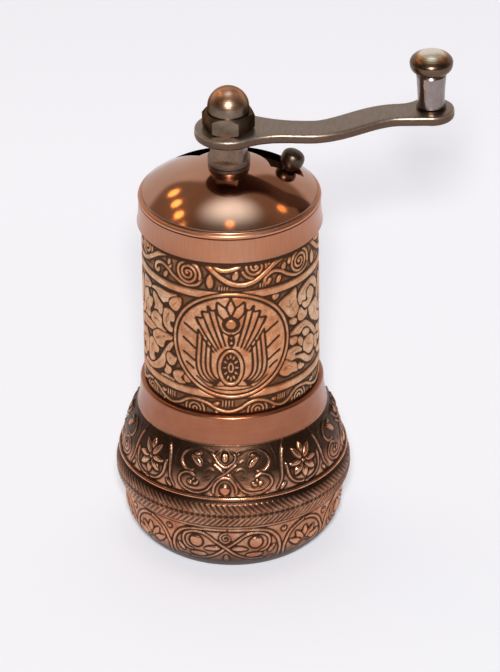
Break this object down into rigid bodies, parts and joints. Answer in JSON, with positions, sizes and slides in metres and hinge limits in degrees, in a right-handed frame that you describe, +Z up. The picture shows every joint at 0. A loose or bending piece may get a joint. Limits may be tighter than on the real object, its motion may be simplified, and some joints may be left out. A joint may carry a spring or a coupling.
{
  "type": "hand coffee grinder",
  "caption": "Cranked cylindrical coffee mill on a round receiving cup, with a domed lid, a turning filling shutter, an S-bent crank arm and a conical burr pair.",
  "frame": {"origin": "centre of the cup's flat foot, on the surface that the mill stands on", "axes": "+Z up along the spindle; -Y is the front, where the medallion faces; the crank arm points along +X at rest"},
  "size_m": [0.0751, 0.052, 0.1137],
  "materials": {
    "antique_copper": "relief-cast, copper plated, dark patina in the ground and rubbed copper on the raised ornament",
    "polished_copper": "polished copper plate, softly brushed on the band",
    "bronzed_steel": "dark bronze-toned plate, half polished",
    "steel": "plain turned steel",
    "burr_steel": "hardened dark steel",
    "brass": "turned brass"
  },
  "bodies": {
    "cup": {"base_cup": "antique_copper"},
    "mill": {"upper_body": "antique_copper", "lid": "polished_copper", "top_bush": "brass", "shutter_clip": "steel", "outer_burr": "burr_steel", "burr_screws": "steel", "bearing_bridge": "bronzed_steel", "bridge_bush": "brass", "bridge_screws": "steel"},
    "crank": {"shaft": "steel", "drive_pin": "steel", "burr_spring": "steel", "drive_collar": "bronzed_steel", "crank_arm": "bronzed_steel", "cap_nut": "bronzed_steel", "knob_washer": "bronzed_steel", "knob_pin": "steel"},
    "knob": {"knob_sleeve": "polished_copper", "knob_cap": "polished_copper"},
    "shutter": {"shutter": "polished_copper", "shutter_knob": "bronzed_steel"},
    "cone": {"inner_burr": "burr_steel"},
    "adjuster": {"adjuster_nut": "brass"}
  },
  "joints": [
    {"name": "body_lift", "type": "slide", "parent": "cup", "child": "mill", "axis": [0, 0, 1], "range_m": [0, 0.045]},
    {"name": "crank_turn", "type": "hinge", "parent": "mill", "child": "crank", "pos_m": [0, 0, 0.06], "axis": [0, 0, 1], "continuous": true},
    {"name": "knob_spin", "type": "hinge", "parent": "crank", "child": "knob", "pos_m": [0.044, 0.00775, 0.105], "axis": [0, 0, 1], "continuous": true},
    {"name": "shutter_swing", "type": "hinge", "parent": "mill", "child": "shutter", "pos_m": [0, 0, 0.087], "axis": [0, 0, 1], "range_deg": [0, 116]},
    {"name": "burr_slide", "type": "slide", "parent": "crank", "child": "cone", "axis": [0, 0, 1], "range_m": [-0.001, 0.0005], "deforming": ["burr_spring"]},
    {"name": "adjuster_turn", "type": "hinge", "parent": "cone", "child": "adjuster", "pos_m": [0, 0, 0.0287], "axis": [0, 0, 1], "range_deg": [-360, 180]}
  ],
  "couplings": [
    {"joint": "adjuster_turn", "follows": "burr_slide", "rad_per_m": 6283}
  ]
}
